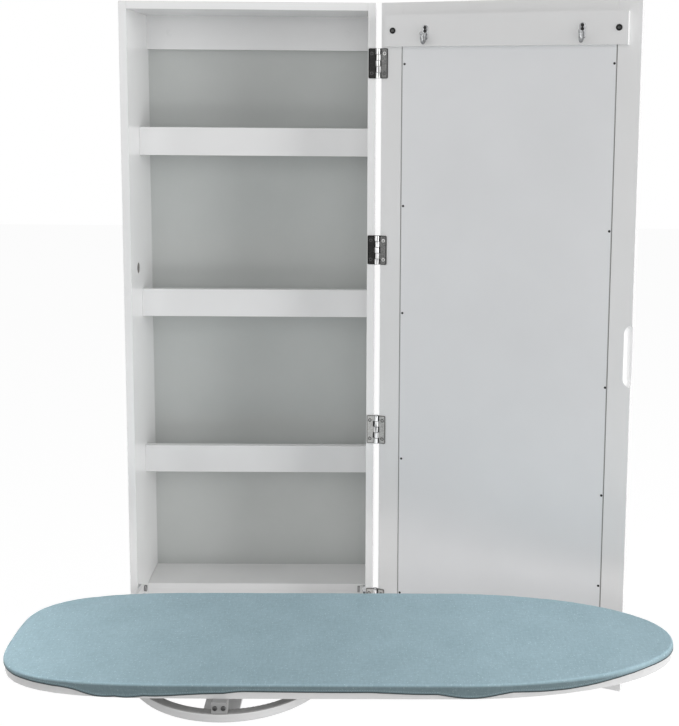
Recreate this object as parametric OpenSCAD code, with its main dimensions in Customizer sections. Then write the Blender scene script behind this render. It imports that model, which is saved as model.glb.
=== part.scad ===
// Wall-hung ironing board cabinet with a mirrored door, a swivelling fold-down board and storage shelves.
// Millimetres. X runs along the wall, Y into the wall, Z up.
// The origin is midway between the two wall screws, on the wall.

/* [Cabinet] */
// Outer width of the cabinet
cab_w = 400; // [380:1:460]
// Outer height of the cabinet
cab_h = 1046; // [1040:1:1120]
// Outer depth of the cabinet, back panel included
cab_d = 165; // [158:1:190]
// Thickness of the side, top and bottom panels
panel_t = 12; // [10:0.5:14]
// Thickness of the back panel
back_t = 3; // [2:0.5:5]
// Diameter of the cord hole in the left side
cord_hole_d = 18; // [12:1:24]
// Distance of the cord hole below the top
cord_hole_drop = 427; // [380:1:440]
// Distance of the cord hole behind the front
cord_hole_setback = 54; // [45:1:62]

/* [Hanging cleat] */
// Height of the hanging cleat
cleat_h = 56; // [48:1:70]
// Thickness of the hanging cleat
cleat_t = 12; // [10:0.5:18]
// Distance between the two wall screws
screw_spacing = 300; // [240:5:330]
// Diameter of the wall screw holes
screw_hole_d = 5.5; // [4.5:0.5:7]

/* [Shelves] */
// Distance of the shelf rails behind the front
rail_setback = 79; // [74:1:90]
// Height of a shelf rail
rail_h = 46; // [36:1:60]
// Thickness of a shelf rail
rail_t = 12; // [9:0.5:15]
// Thickness of a shelf
shelf_t = 12; // [9:0.5:15]
// Distance of the first rail's top below the top of the cabinet
first_rail_drop = 197; // [170:1:215]
// Distance from one rail to the next
rail_pitch = 269.4; // [250:0.2:272]
// Height of the bottom shelf's top above the base
foot_shelf_h = 65; // [56:1:75]

/* [Door] */
// Thickness of the door frame
door_t = 18; // [16:0.5:20]
// Width of the door frame's stiles and rails
stile_w = 34; // [28:1:45]
// How far the door reaches past the free side
door_overhang = 2; // [0:0.5:3]
// Angle of the open door, counted from closed
door_open = 157.7; // [150:0.1:178]
// Thickness of the mirror
mirror_t = 4; // [3:0.5:5]
// Thickness of the backing board
backing_t = 3; // [2:0.5:4]
// Thickness of the frame's lip in front of the mirror
lip_t = 3; // [2:0.5:4]
// How far the lip covers the mirror
lip_w = 8; // [5:1:14]
// Height of the finger pull
pull_h = 93; // [70:1:120]
// Width of the finger pull
pull_w = 12; // [9:0.5:16]
// Radius of the finger pull's hollow
pull_r = 13; // [12:0.5:16]
// Depth of the finger pull
pull_depth = 9; // [6:0.5:11]

/* [Hook strip] */
// Distance of the strip's end from the door's hinge edge
strip_hinge_inset = 10.5; // [9:0.5:20]
// Distance of the strip's end from the door's free edge
strip_free_inset = 17.5; // [14:0.5:30]
// Height of the hook strip
strip_h = 48; // [40:1:60]
// Thickness of the hook strip
strip_t = 12; // [10:0.5:15]
// Distance of the strip's middle below the door's top
strip_drop = 43.5; // [36:0.5:60]
// Distance of the strip's screws from its ends
strip_screw_inset = 13; // [8:0.5:20]
// Distance between the two hooks
hook_pitch = 242; // [200:1:280]
// Distance of a hook plate's middle below the door's top
hook_drop = 47; // [42:0.5:54]
// Height of a hook's plate
hook_h = 22; // [18:1:28]
// Width of a hook's plate
hook_w = 7; // [6:0.5:10]
// How far a hook stands out
hook_reach = 14; // [11:0.5:20]

/* [Hinges] */
// Height of a hinge
hinge_h = 46.5; // [40:0.5:60]
// Distance of the first hinge's middle below the top
hinge_drop = 93; // [80:1:110]
// Distance of the last hinge's middle above the base
hinge_rise = 71; // [68:1:110]
// Width of a hinge leaf beyond its barrel
leaf_w = 11; // [9:0.5:12]
// Thickness of a hinge leaf
leaf_t = 1.6; // [1.2:0.1:2]
// Radius of a leaf's outer corners
leaf_corner = 2; // [0.5:0.5:4]
// Outer radius of a hinge barrel
barrel_r = 4; // [3.6:0.1:5]
// Radius of a hinge pin
hinge_pin_r = 2; // [1.6:0.1:2.2]

/* [Swing arms] */
// Height of the arm pivots above the base
pivot_h = 87.5; // [84:0.5:96]
// Distance of the arm pivots behind the front
pivot_setback = 10; // [9:0.5:12]
// Depth of an arm's bar
arm_h = 13; // [12:0.5:15]
// Thickness of an arm's bar
arm_t = 5; // [4:0.5:6]
// Gap between an arm and the side panel
arm_gap = 4; // [3:0.5:5]
// Radius of the pins that the arms turn on
pin_r = 4; // [3:0.25:4.5]

/* [Swivel ring] */
// Clear width between the ring and the nearer arm
ring_side = 25; // [20:1:36]
// Width of the ring's band
ring_band = 13; // [10:0.5:18]
// Height of the ring
ring_h = 12; // [10:0.5:14]
// Offset of the swivel centre from the middle of the cabinet
swivel_x = 16; // [0:1:20]
// Distance of the swivel centre in front of the cabinet
reach = 327.8; // [322:0.1:335]
// Radius of the swivel stud
stud_r = 8; // [6:0.5:10]
// Wall of the sleeve and washer around the stud
sleeve_wall = 8; // [6:0.5:10]
// Radius of the flange under the board
flange_r = 45; // [35:1:60]
// Thickness of the flange
flange_t = 3; // [2:0.5:4]
// Width of the bar that carries the stud
hub_w = 45; // [40:1:60]

/* [Board] */
// Height of the ironing surface above the base
iron_h = 178; // [174:1:190]
// Length from the swivel centre to the nose
nose_l = 592.5; // [570:0.5:600]
// Length from the swivel centre to the blunt end
blunt_l = 295; // [270:0.5:298]
// Half of the board's width
half_w = 129; // [120:0.5:131]
// Length of the rounded nose
nose_curve = 300; // [240:1:340]
// Length of the rounded blunt end
blunt_curve = 300; // [280:1:320]
// Thickness of the board
board_t = 12; // [10:0.5:15]
// Thickness of the pad
pad_t = 5.7; // [4:0.1:8]
// Width of the pad's slope from its edge to its flat top
crown_w = 40; // [30:1:60]
// Thickness of the cover's cloth
cloth_t = 1; // [0.8:0.1:1.5]
// Depth of the cover's skirt at its shortest
skirt_h = 8.5; // [7.5:0.5:12]
// How far the skirt's folds hang below its shortest depth
fold_drop = 9; // [3:0.5:9.5]

/* [Hidden] */

$fn = 64;
gap = 0.3;
pin_play = 0.05;
// How far a cut runs past the face that it opens
over = 1;
white = [0.86, 0.86, 0.86];
grey_green = [0.62, 0.65, 0.64];
dark_steel = [0.36, 0.37, 0.38];
pale_steel = [0.66, 0.67, 0.68];
fabric_blue = [0.56, 0.66, 0.71];

// Cabinet planes
z_top = panel_t + cleat_h / 2;
z_base = z_top - cab_h;
y_front = -cab_d;
y_back = -back_t;
inner_w = cab_w - 2 * panel_t;
inner_x = inner_w / 2;
y_rail = y_front + rail_setback;
screw_r = screw_hole_d / 2;
pin_bite = panel_t * 0.75;

// Hinge line
barrel_clear = 0.3;
leaf_clear = 0.2;
hinge_x = cab_w / 2 + barrel_r + barrel_clear;
hinge_y = y_front - leaf_t - leaf_clear;
knuckles = 5;
hinge_count = 4;
hinge_pitch = (cab_h - hinge_drop - hinge_rise) / (hinge_count - 1);
knuckle_gap = 0.2;
knuckle_h = (hinge_h - (knuckles - 1) * knuckle_gap) / knuckles;

// Door, in its own frame: x from the hinge pin along the door, y from the pin to the mirror side
door_x0 = barrel_r + barrel_clear;
door_w = cab_w + door_overhang;
door_y0 = leaf_t + leaf_clear;
opening_w = door_w - 2 * stile_w;
opening_h = cab_h - 2 * stile_w;
pack_clear = 0.5;
mirror_y = door_y0 + door_t - lip_t - mirror_t;
filler_t = door_t - lip_t - mirror_t - backing_t;
strip_l = door_w - strip_hinge_inset - strip_free_inset;
strip_x = door_x0 + strip_hinge_inset + strip_l / 2;
strip_screw_pitch = strip_l - 2 * strip_screw_inset;
strip_screw_r = 2.4;
strip_screw_play = 0.1;
strip_head_r = 4.5;
strip_head_t = 2;
strip_tip = 0.5;
strip_z = z_top - strip_drop;
pull_drop = cab_h / 2;

// Swing arms and swivel
arm_x = inner_x - arm_gap - arm_t / 2;
fold_y = y_front + pivot_setback;
fold_z = z_base + pivot_h;
z_iron = z_base + iron_h;
board_top = z_iron - cloth_t - gap - pad_t;
board_low = board_top - board_t;
glide_h = 15;
ring_top = board_low - glide_h;
tilt_y = y_front - reach;
tilt_z = ring_top - ring_h / 2;
arm_run = fold_y - tilt_y;
arm_lift = tilt_z - fold_z;
arm_len = norm([arm_run, arm_lift]);
arm_rise = atan2(arm_lift, arm_run);
arm_in = inner_x - arm_gap - arm_t;
ring_r = arm_in - swivel_x - ring_side;
ring_in = ring_r - ring_band;
head_t = 4;
head_over = 1.2;
washer_r = arm_h / 2;
clip_over = 2.5;
clip_t = 2;
trunnion_r = 6;
crank_t = 4;
tab_t = 3;
hub_t = 5;
ring_round = 2.5;
hub_top = ring_top - ring_h + ring_round + hub_t;
lip_h = ring_top - hub_top - gap;
stud_short = 1;

// Board outline: half an ellipse for the nose, straight sides and a squarer blunt end
blunt_power = 3.5;
nose_steps = 26;
side_steps = 8;
blunt_steps = 22;
outline_n = nose_steps + blunt_steps + 2 * side_steps;
cover_gap = 0.4;
shoulder_w = 4;
nose_c = nose_l - nose_curve;
blunt_c = blunt_curve - blunt_l;
side_l = nose_c - blunt_c;

function soft_cos(a) = sign(cos(a)) * pow(abs(cos(a)), 2 / blunt_power);
function soft_sin(a) = sign(sin(a)) * pow(abs(sin(a)), 2 / blunt_power);

// Point i of the outline, moved outwards by grow
function edge_point(i, grow) =
    i < nose_steps ?
        let (a = -90 + 180 * i / nose_steps)
        [nose_c + (nose_curve + grow) * cos(a), (half_w + grow) * sin(a)]
    : i < nose_steps + side_steps ?
        [nose_c - side_l * (i - nose_steps) / side_steps, half_w + grow]
    : i < nose_steps + side_steps + blunt_steps ?
        let (a = 90 + 180 * (i - nose_steps - side_steps) / blunt_steps)
        [blunt_c + (blunt_curve + grow) * soft_cos(a), (half_w + grow) * soft_sin(a)]
    :
        [blunt_c + side_l * (i - nose_steps - side_steps - blunt_steps) / side_steps, -half_w - grow];

function outline(grow) = [for (i = [0:outline_n - 1]) edge_point(i, grow)];
function level(grow, z) = [for (p = outline(grow)) [p[0], p[1], z]];

// Where the skirt hangs deepest: the share of the way round from the front of the nose,
// and the half-width and depth of the dip
dips = [[0.004, 0.022, 0.9], [0.066, 0.04, 0.55], [0.20, 0.05, 0.35], [0.36, 0.035, 0.7],
    [0.49, 0.03, 0.5], [0.60, 0.03, 0.3], [0.842, 0.016, 1], [0.87, 0.012, 0.65], [0.94, 0.05, 0.15]];

function dip(share, d) =
    let (off = abs(share - d[0]), near = min(off, 1 - off))
    d[2] * exp(-pow(near / d[1], 2));

// The skirt's folds, from 0 to 1 around the board
function fold(i) = max([for (d = dips) dip(i / outline_n, d)]);
function hem(grow, wave) =
    [for (i = [0:outline_n - 1])
        let (p = edge_point(i, grow + wave * fold(i)))
        [p[0], p[1], -skirt_h - fold_drop * fold(i)]];

// Closed solid through rings of the same number of points, from the first ring to the last
module loft(rings) {
    n = len(rings[0]);
    last = (len(rings) - 1) * n;
    points = [for (r = rings) each r];
    walls = [for (k = [0:len(rings) - 2], i = [0:n - 1])
        let (a = k * n + i, b = k * n + (i + 1) % n)
        each [[a, b + n, b], [a, a + n, b + n]]];
    tip = nose_steps / 2;
    bottom = [for (i = [1:n - 2]) [tip, (tip + i) % n, (tip + i + 1) % n]];
    top = [for (i = [1:n - 2]) [last + tip, last + (tip + i + 1) % n, last + (tip + i) % n]];
    polyhedron(points, concat(walls, bottom, top));
}

module in_door() {
    translate([hinge_x, hinge_y, 0])
        rotate([0, 0, door_open - 180])
            children();
}

module at_swivel() {
    translate([swivel_x, tilt_y, 0])
        children();
}

module x_cylinder(r, x0, x1) {
    translate([x1, 0, 0])
        rotate([0, -90, 0])
            cylinder(r = r, h = x1 - x0);
}

module y_cylinder(r, y0, y1) {
    translate([0, y0, 0])
        rotate([-90, 0, 0])
            cylinder(r = r, h = y1 - y0);
}

// Cabinet -------------------------------------------------------------------

module side_panel(side) {
    translate([side > 0 ? inner_x : -cab_w / 2, y_front, z_base])
        cube([panel_t, cab_d - back_t, cab_h]);
}

module pivot_hole(side) {
    translate([0, fold_y, fold_z])
        mirror([side > 0 ? 0 : 1, 0, 0])
            x_cylinder(pin_r, inner_x - over, inner_x + pin_bite);
}

module side_left() {
    color(white)
        difference() {
            side_panel(-1);
            pivot_hole(-1);
            translate([0, y_front + cord_hole_setback, z_top - cord_hole_drop])
                x_cylinder(cord_hole_d / 2, -cab_w / 2 - over, over - inner_x);
        }
}

module side_right() {
    color(white)
        difference() {
            side_panel(1);
            pivot_hole(1);
        }
}

module cross_panel(z) {
    translate([-inner_x, y_front, z])
        cube([inner_w, cab_d - back_t, panel_t]);
}

module top_panel() {
    color(white)
        cross_panel(z_top - panel_t);
}

module bottom_panel() {
    color(white)
        cross_panel(z_base);
}

module wall_screw_holes(y0, y1) {
    for (x = [-screw_spacing / 2, screw_spacing / 2])
        translate([x, 0, 0])
            y_cylinder(screw_r, y0, y1);
}

module back_panel() {
    color(grey_green)
        difference() {
            translate([-cab_w / 2, y_back, z_base])
                cube([cab_w, back_t, cab_h]);
            wall_screw_holes(y_back - over, over);
        }
}

module hanging_cleat() {
    color(white)
        difference() {
            translate([-inner_x, y_back - cleat_t, -cleat_h / 2])
                cube([inner_w, cleat_t, cleat_h]);
            wall_screw_holes(y_back - cleat_t - over, 0);
        }
}

module shelf(z) {
    color(white)
        translate([-inner_x, y_rail + rail_t, z])
            cube([inner_w, y_back - y_rail - rail_t, shelf_t]);
}

module rail(z) {
    color(white)
        translate([-inner_x, y_rail, z])
            cube([inner_w, rail_t, rail_h]);
}

function rail_z(i) = z_top - first_rail_drop - i * rail_pitch - rail_h;

module bottom_shelf() {
    color(white)
        translate([-inner_x, y_rail, z_base + foot_shelf_h - shelf_t])
            cube([inner_w, y_back - y_rail, shelf_t]);
}

module bottom_riser() {
    color(white)
        translate([-inner_x, y_rail, z_base + panel_t])
            cube([inner_w, rail_t, foot_shelf_h - shelf_t - panel_t]);
}

// Hinges --------------------------------------------------------------------

function hinge_z(i) = z_top - hinge_drop - i * hinge_pitch - hinge_h / 2;

// Plate from the barrels outwards, with its outer corners rounded
module leaf_plate() {
    leaf_l = barrel_r + barrel_clear + leaf_w;
    translate([0, leaf_clear, 0]) {
        cube([leaf_l - leaf_corner, leaf_t, hinge_h]);
        translate([0, 0, leaf_corner])
            cube([leaf_l, leaf_t, hinge_h - 2 * leaf_corner]);
        for (z = [leaf_corner, hinge_h - leaf_corner])
            translate([leaf_l - leaf_corner, 0, z])
                y_cylinder(leaf_corner, 0, leaf_t);
    }
}

// One leaf, in the door's frame: its barrels turn about the z axis and the plate lies along +x
module leaf(first) {
    difference() {
        union() {
            for (k = [first:2:knuckles - 1])
                translate([0, 0, k * (knuckle_h + knuckle_gap)])
                    cylinder(r = barrel_r, h = knuckle_h);
            leaf_plate();
        }
        translate([0, 0, -over])
            cylinder(r = hinge_pin_r + pin_play, h = hinge_h + 2 * over);
        for (k = [1 - first:2:knuckles - 1])
            translate([0, 0, k * (knuckle_h + knuckle_gap) - knuckle_gap])
                cylinder(r = barrel_r + barrel_clear, h = knuckle_h + 2 * knuckle_gap);
    }
}

module frame_leaf(i) {
    color(dark_steel)
        translate([hinge_x, hinge_y, hinge_z(i)])
            mirror([1, 0, 0])
                leaf(0);
}

module hinge_pin(i) {
    color(pale_steel)
        translate([hinge_x, hinge_y, hinge_z(i)])
            cylinder(r = hinge_pin_r, h = hinge_h);
}

module door_leaf(i) {
    color(dark_steel)
        in_door()
            translate([0, 0, hinge_z(i)])
                leaf(1);
}

// Door ----------------------------------------------------------------------

// Scoop at the free edge: an upright round hollow with round ends, open at the edge
module pull_scoop() {
    round_r = pull_r - 1;
    straight = pull_h / 2 - round_r;
    translate([door_x0 + door_w - pull_w + pull_r, door_y0 + pull_depth - pull_r, z_top - pull_drop]) {
        translate([0, 0, -straight])
            cylinder(r = pull_r, h = 2 * straight);
        for (z = [-straight, straight])
            translate([0, 0, z])
                sphere(r = pull_r);
    }
}

module door_stile_hinge() {
    color(white)
        in_door() {
            translate([door_x0, door_y0, z_base])
                cube([stile_w, door_t, cab_h]);
            translate([door_x0 + stile_w, door_y0 + door_t - lip_t, z_base + stile_w])
                cube([lip_w, lip_t, opening_h]);
        }
}

module door_stile_free() {
    free_x = door_x0 + door_w - stile_w;
    color(white)
        in_door()
            difference() {
                union() {
                    translate([free_x, door_y0, z_base])
                        cube([stile_w, door_t, cab_h]);
                    translate([free_x - lip_w, door_y0 + door_t - lip_t, z_base + stile_w])
                        cube([lip_w, lip_t, opening_h]);
                }
                pull_scoop();
            }
}

// Rail between the stiles: z of its outer edge, up is 1 when its opening lies above it
module door_rail(z, up) {
    rail_low = up > 0 ? z : z - stile_w;
    lip_z = up > 0 ? z + stile_w : z - stile_w - lip_w;
    color(white)
        in_door() {
            translate([door_x0 + stile_w, door_y0, rail_low])
                cube([opening_w, door_t, stile_w]);
            translate([door_x0 + stile_w + lip_w, door_y0 + door_t - lip_t, lip_z])
                cube([opening_w - 2 * lip_w, lip_t, lip_w]);
        }
}

// Sheet that fills the frame's opening with a small clearance
module door_sheet(y, t) {
    in_door()
        translate([door_x0 + stile_w + pack_clear, y, z_base + stile_w + pack_clear])
            cube([opening_w - 2 * pack_clear, t, opening_h - 2 * pack_clear]);
}

module mirror_glass() {
    color([0.75, 0.8, 0.82])
        door_sheet(mirror_y, mirror_t);
}

module door_filler() {
    color([0.7, 0.6, 0.45])
        door_sheet(door_y0 + backing_t, filler_t);
}

module door_backing() {
    color(white)
        door_sheet(door_y0, backing_t);
}

// Place on the strip's face: x from its middle, z from its middle line
module at_strip(x, z = 0) {
    in_door()
        translate([strip_x + x, door_y0 - strip_t, strip_z + z])
            children();
}

module hook_strip() {
    color(white)
        difference() {
            at_strip(-strip_l / 2)
                translate([0, 0, -strip_h / 2])
                    cube([strip_l, strip_t, strip_h]);
            for (x = [-strip_screw_pitch / 2, strip_screw_pitch / 2])
                at_strip(x)
                    y_cylinder(strip_screw_r + strip_screw_play, -over, strip_t + over);
        }
}

module strip_screws() {
    color(dark_steel)
        for (x = [-strip_screw_pitch / 2, strip_screw_pitch / 2])
            at_strip(x) {
                y_cylinder(strip_screw_r, -strip_tip, strip_t - strip_tip);
                y_cylinder(strip_head_r, -strip_head_t, 0);
            }
}

// Robe hook: a narrow plate, a neck that stands out and a prong that turns up
module hook(x) {
    wire_r = 2.2;
    ball_r = 3;
    neck_r = 1.6;
    neck_h = 5;
    neck_in = 0.4;
    neck_up = 1;
    plate_t = 2;
    prong_h = 7;
    bend_r = (hook_reach - plate_t) / 2;
    end_z = (hook_h - hook_w) / 2;
    color(pale_steel)
        at_strip(x, strip_drop - hook_drop)
            translate([0, -plate_t, 0]) {
                translate([-hook_w / 2, 0, -end_z])
                    cube([hook_w, plate_t, 2 * end_z]);
                for (z = [-end_z, end_z])
                    translate([0, 0, z])
                        y_cylinder(hook_w / 2, 0, plate_t);
                translate([0, 0, neck_up - hook_h / 2]) {
                    translate([0, -bend_r, 0])
                        rotate([0, 90, 0])
                            rotate([0, 0, -90])
                                rotate_extrude(angle = 180)
                                    translate([bend_r, 0])
                                        circle(r = wire_r, $fn = 24);
                    translate([0, -2 * bend_r, 0])
                        cylinder(r = wire_r, h = prong_h, $fn = 24);
                    translate([0, -2 * bend_r, prong_h])
                        sphere(r = ball_r, $fn = 24);
                    translate([0, neck_in, 0])
                        cylinder(r = neck_r, h = neck_h, $fn = 24);
                }
            }
}

// Swing arms ----------------------------------------------------------------

module arm(side) {
    color(white)
        translate([side * arm_x, fold_y, fold_z])
            rotate([-arm_rise, 0, 0])
                difference() {
                    union() {
                        translate([-arm_t / 2, -arm_len, -arm_h / 2])
                            cube([arm_t, arm_len, arm_h]);
                        for (y = [0, -arm_len])
                            translate([0, y, 0])
                                x_cylinder(arm_h / 2, -arm_t / 2, arm_t / 2);
                    }
                    for (y = [0, -arm_len])
                        translate([0, y, 0])
                            x_cylinder(pin_r + pin_play, -arm_t, arm_t);
                }
}

module for_sides() {
    children();
    mirror([1, 0, 0])
        children();
}

module pivot_bolts() {
    color(dark_steel)
        for_sides()
            translate([0, fold_y, fold_z]) {
                x_cylinder(pin_r, arm_in - gap, inner_x + pin_bite);
                x_cylinder(pin_r + head_over, arm_in - gap - head_t, arm_in - gap);
            }
}

module pivot_washers() {
    color(pale_steel)
        for_sides()
            translate([0, fold_y, fold_z])
                difference() {
                    x_cylinder(washer_r, arm_in + arm_t + gap, inner_x);
                    x_cylinder(pin_r + gap / 2, arm_in, inner_x + over);
                }
}

// Angle under each arm's pivot end that carries the arm when the board is out
module arm_rests() {
    rest_l = pivot_setback - 1;
    plate_t = 2;
    plate_l = 2.5 * arm_h;
    plate_low = 2.3 * arm_h;
    color(pale_steel)
        for_sides()
            translate([0, fold_y, fold_z])
                rotate([-arm_rise, 0, 0])
                    translate([0, 0, -arm_h / 2 - gap - tab_t]) {
                        translate([arm_in, -rest_l, 0])
                            cube([inner_x - arm_in, rest_l, tab_t]);
                        translate([inner_x - plate_t, plate_t - rest_l, -plate_low])
                            cube([plate_t, plate_l, plate_low]);
                    }
}

// Swivel carrier ------------------------------------------------------------

module ring() {
    color(white)
        at_swivel()
            translate([0, 0, ring_top - ring_h])
                rotate_extrude($fn = 128) {
                    translate([ring_in + ring_round, 0])
                        square([ring_band - 2 * ring_round, ring_h]);
                    translate([ring_in, ring_round])
                        square([ring_band, ring_h - 2 * ring_round]);
                    for (x = [ring_in + ring_round, ring_r - ring_round])
                        for (z = [ring_round, ring_h - ring_round])
                            translate([x, z])
                                circle(r = ring_round, $fn = 32);
                }
}

// Bar from the ring to the arm, its pin, and a crank with a tab that stops the carrier on the arm's underside
module trunnion(side) {
    from_x = side * swivel_x + ring_in;
    crank_l = 30;
    tab_l = 12;
    crank_x = arm_in - gap - crank_t;
    color(white)
        difference() {
            translate([0, tilt_y, tilt_z])
                mirror([side > 0 ? 0 : 1, 0, 0]) {
                    x_cylinder(trunnion_r, from_x, arm_in - gap);
                    x_cylinder(pin_r, arm_in - gap, arm_in + arm_t + gap);
                    rotate([-arm_rise, 0, 0]) {
                        translate([crank_x, 0, -arm_h / 2 - gap - tab_t])
                            cube([crank_t, crank_l, arm_h / 2 + gap + tab_t]);
                        translate([crank_x, crank_l - tab_l, -arm_h / 2 - gap - tab_t])
                            cube([crank_t + arm_t + gap, tab_l, tab_t]);
                    }
                }
            at_swivel()
                translate([0, 0, ring_top - 2 * ring_h])
                    rotate([0, 0, 90])
                        cylinder(r = ring_r, h = 3 * ring_h, $fn = 128);
        }
}

module trunnion_clips() {
    color(pale_steel)
        for_sides()
            translate([0, tilt_y, tilt_z])
                x_cylinder(pin_r + clip_over, arm_in + arm_t + gap, arm_in + arm_t + gap + clip_t);
}

module hub_bar() {
    color(white)
        at_swivel()
            translate([0, 0, ring_top - ring_h + ring_round])
                intersection() {
                    cylinder(r = ring_in, h = hub_t, $fn = 128);
                    translate([-hub_w / 2, -ring_in, 0])
                        cube([hub_w, 2 * ring_in, hub_t]);
                }
}

module swivel_stud() {
    color(pale_steel)
        at_swivel()
            translate([0, 0, hub_top])
                cylinder(r = stud_r, h = board_low - stud_short - hub_top);
}

module thrust_washer() {
    color(white)
        at_swivel()
            translate([0, 0, hub_top])
                difference() {
                    cylinder(r = stud_r + sleeve_wall, h = board_low - glide_h - hub_top);
                    translate([0, 0, -over])
                        cylinder(r = stud_r + gap, h = glide_h + 2 * over);
                }
}

// Board ---------------------------------------------------------------------

module swivel_flange() {
    color(pale_steel)
        at_swivel()
            translate([0, 0, board_low - glide_h + gap])
                difference() {
                    union() {
                        cylinder(r = stud_r + sleeve_wall, h = glide_h - gap);
                        translate([0, 0, glide_h - gap - flange_t])
                            cylinder(r = flange_r, h = flange_t);
                    }
                    translate([0, 0, -over])
                        cylinder(r = stud_r + pin_play, h = glide_h + 2 * over);
                }
}

// Blocks under the board that run on the ring, each with a lip inside the ring
module glides() {
    glide_w = 20;
    lip = 3;
    lip_x = ring_in - gap - lip;
    color(white)
        at_swivel()
            for (a = [0, 90, 180, 270])
                rotate([0, 0, a])
                    translate([0, -glide_w / 2, 0]) {
                        translate([lip_x, 0, ring_top + gap])
                            cube([ring_r - lip_x, glide_w, glide_h - gap]);
                        intersection() {
                            translate([lip_x - 2, 0, ring_top - lip_h])
                                cube([lip + 2, glide_w, lip_h + gap]);
                            translate([0, glide_w / 2, ring_top - lip_h])
                                cylinder(r = ring_in - gap, h = lip_h + gap, $fn = 128);
                        }
                    }
}

module board_panel() {
    color(white)
        at_swivel()
            translate([0, 0, board_low])
                linear_extrude(board_t)
                    polygon(outline(0));
}

// Felt pad: sides drawn in at the bottom, rounded shoulders and a low crown
module board_pad() {
    side = [[-1.5, 0], [0, 0.4], [-1, 0.75], [-shoulder_w, 0.95]];
    slopes = [for (s = side) level(s[0], pad_t * s[1])];
    color([0.9, 0.9, 0.88])
        at_swivel()
            translate([0, 0, board_top])
                loft(concat(slopes, [level(-crown_w, pad_t)]));
}

// Cloth cover: the top, its turned shoulder and a skirt that hangs in soft folds
module board_cover() {
    g = cover_gap;
    t = cloth_t;
    p = pad_t + gap;
    flare = 0.2;
    turn = 1.2;
    inside = [level(-crown_w, -t), level(-shoulder_w, -t - p * 0.05), level(g - 1, -t - p * 0.25)];
    skirt_inside = [level(g, -t - p * 0.6), hem(g + flare, 1)];
    skirt_outside = [hem(g + flare + t, 1), level(g + t, -t - p * 0.6)];
    outside = [level(g + t - turn, -p * 0.2), level(-shoulder_w, 0), level(-crown_w, 0)];
    color(fabric_blue)
        at_swivel()
            translate([0, 0, z_iron])
                loft(concat(inside, skirt_inside, skirt_outside, outside));
}

side_left();
side_right();
top_panel();
bottom_panel();
back_panel();
hanging_cleat();
shelf(rail_z(0));  // shelf_upper
shelf(rail_z(1));  // shelf_middle
shelf(rail_z(2));  // shelf_lower
rail(rail_z(0));  // rail_upper
rail(rail_z(1));  // rail_middle
rail(rail_z(2));  // rail_lower
bottom_shelf();
bottom_riser();
pivot_bolts();
pivot_washers();
arm_rests();
frame_leaf(0);  // frame_leaf_1
frame_leaf(1);  // frame_leaf_2
frame_leaf(2);  // frame_leaf_3
frame_leaf(3);  // frame_leaf_4
hinge_pin(0);  // hinge_pin_1
hinge_pin(1);  // hinge_pin_2
hinge_pin(2);  // hinge_pin_3
hinge_pin(3);  // hinge_pin_4
door_stile_hinge();
door_stile_free();
door_rail(z_top, -1);  // door_rail_top
door_rail(z_base, 1);  // door_rail_bottom
mirror_glass();  // mirror
door_filler();
door_backing();
hook_strip();
strip_screws();
hook(-hook_pitch / 2);  // hook_left
hook(hook_pitch / 2);  // hook_right
door_leaf(0);  // door_leaf_1
door_leaf(1);  // door_leaf_2
door_leaf(2);  // door_leaf_3
door_leaf(3);  // door_leaf_4
arm(-1);  // arm_left
arm(1);  // arm_right
trunnion(-1);  // trunnion_left
trunnion(1);  // trunnion_right
trunnion_clips();
ring();
hub_bar();
swivel_stud();
thrust_washer();
swivel_flange();
glides();
board_panel();
board_pad();
board_cover();
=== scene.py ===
import math
import bmesh
import bpy
from mathutils import Matrix, Vector, noise


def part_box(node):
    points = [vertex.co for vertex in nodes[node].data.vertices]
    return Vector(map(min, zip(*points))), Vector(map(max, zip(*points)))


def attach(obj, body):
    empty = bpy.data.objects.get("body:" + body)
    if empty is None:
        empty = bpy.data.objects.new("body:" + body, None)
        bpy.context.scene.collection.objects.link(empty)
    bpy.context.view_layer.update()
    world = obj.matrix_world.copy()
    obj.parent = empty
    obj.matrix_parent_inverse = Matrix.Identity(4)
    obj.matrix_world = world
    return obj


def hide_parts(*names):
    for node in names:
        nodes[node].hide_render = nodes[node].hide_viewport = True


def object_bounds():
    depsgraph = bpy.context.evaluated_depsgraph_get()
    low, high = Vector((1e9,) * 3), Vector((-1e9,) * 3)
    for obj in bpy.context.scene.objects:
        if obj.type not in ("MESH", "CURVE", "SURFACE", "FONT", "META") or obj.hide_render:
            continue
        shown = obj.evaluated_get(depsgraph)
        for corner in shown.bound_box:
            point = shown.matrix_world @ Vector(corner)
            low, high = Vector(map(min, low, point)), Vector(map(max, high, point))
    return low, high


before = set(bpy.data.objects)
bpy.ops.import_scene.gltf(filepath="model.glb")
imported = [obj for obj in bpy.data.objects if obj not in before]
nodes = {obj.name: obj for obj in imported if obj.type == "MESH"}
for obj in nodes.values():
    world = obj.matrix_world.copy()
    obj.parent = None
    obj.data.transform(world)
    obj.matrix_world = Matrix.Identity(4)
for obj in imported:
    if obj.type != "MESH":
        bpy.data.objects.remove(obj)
cad_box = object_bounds()

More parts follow.
